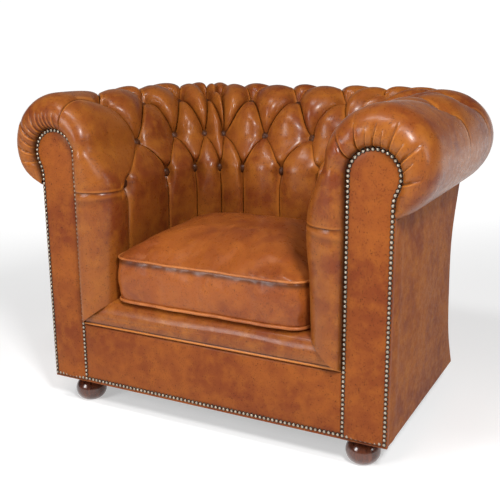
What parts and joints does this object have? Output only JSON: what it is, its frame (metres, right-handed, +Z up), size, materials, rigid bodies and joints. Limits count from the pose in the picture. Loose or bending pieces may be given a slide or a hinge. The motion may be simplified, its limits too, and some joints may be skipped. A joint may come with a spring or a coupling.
{
  "type": "upholstered armchair",
  "caption": "Low club armchair with deep-buttoned scroll arms and back, nailed arm facings, a loose box seat cushion and turned bun feet.",
  "frame": {"origin": "on the floor, under the middle of the chair's bounding box", "axes": "+Z up, +Y towards the back of the chair, +X to the right seen from the front"},
  "size_m": [1.02, 0.681, 0.768],
  "materials": {
    "tan_leather": "antiqued, semi-gloss, finely grained",
    "facing_leather": "antiqued, semi-gloss, slightly darker",
    "seat_leather": "antiqued, polished by use",
    "piping_leather": "rubbed, lighter on the crown",
    "button_leather": "antiqued, semi-gloss",
    "antique_nail": "antique pewter on brass, domed and burnished",
    "polished_wood": "red-brown stain under gloss varnish",
    "hardwood": "sawn beech, unfinished",
    "foam": "upholstery foam and wadding",
    "hessian": "open plain weave",
    "platform_cloth": "brown cotton",
    "dust_cloth": "black spun-bonded cloth",
    "spring_wire": "oil-tempered wire",
    "plated_steel": "zinc plated",
    "zip_brass": "aged brass on brown tape"
  },
  "bodies": {
    "chair": {"arm_buttons_left": "button_leather", "arm_buttons_right": "button_leather", "arm_facing_left": "facing_leather", "arm_facing_right": "facing_leather", "arm_front_board_left": "hardwood", "arm_front_board_right": "hardwood", "arm_hessian_left": "hessian", "arm_hessian_right": "hessian", "arm_padding_left": "foam", "arm_padding_right": "foam", "arm_tack_rail_left": "hardwood", "arm_tack_rail_right": "hardwood", "arm_top_rail_left": "hardwood", "arm_top_rail_right": "hardwood", "back_buttons": "button_leather", "back_hessian": "hessian", "back_padding": "foam", "back_post_left": "hardwood", "back_post_right": "hardwood", "back_tack_rail": "hardwood", "back_top_rail": "hardwood", "bottom_nails": "antique_nail", "bun_foot_front_left": "polished_wood", "bun_foot_front_right": "polished_wood", "bun_foot_rear_left": "polished_wood", "bun_foot_rear_right": "polished_wood", "corner_blocks": "hardwood", "dust_cover": "dust_cloth", "facing_nails_left": "antique_nail", "facing_nails_right": "antique_nail", "foot_bolts": "plated_steel", "foot_plates": "plated_steel", "front_border": "tan_leather", "front_rail": "hardwood", "inside_arm_cover_left": "tan_leather", "inside_arm_cover_right": "tan_leather", "inside_back_cover": "tan_leather", "outside_arm_left": "tan_leather", "outside_arm_right": "tan_leather", "outside_back": "tan_leather", "platform_cloth": "platform_cloth", "platform_hessian": "hessian", "platform_lip": "tan_leather", "platform_pad": "foam", "rear_rail": "hardwood", "seat_springs": "spring_wire", "side_rail_left": "hardwood", "side_rail_right": "hardwood", "spring_clips": "plated_steel"},
    "seat_cushion": {"cushion_cover": "seat_leather", "cushion_core": "foam", "cushion_piping": "piping_leather", "cushion_zip": "zip_brass"}
  },
  "joints": [
    {"name": "cushion_lift", "type": "slide", "parent": "chair", "child": "seat_cushion", "axis": [0, 0, 1], "range_m": [0, 0.5]}
  ]
}
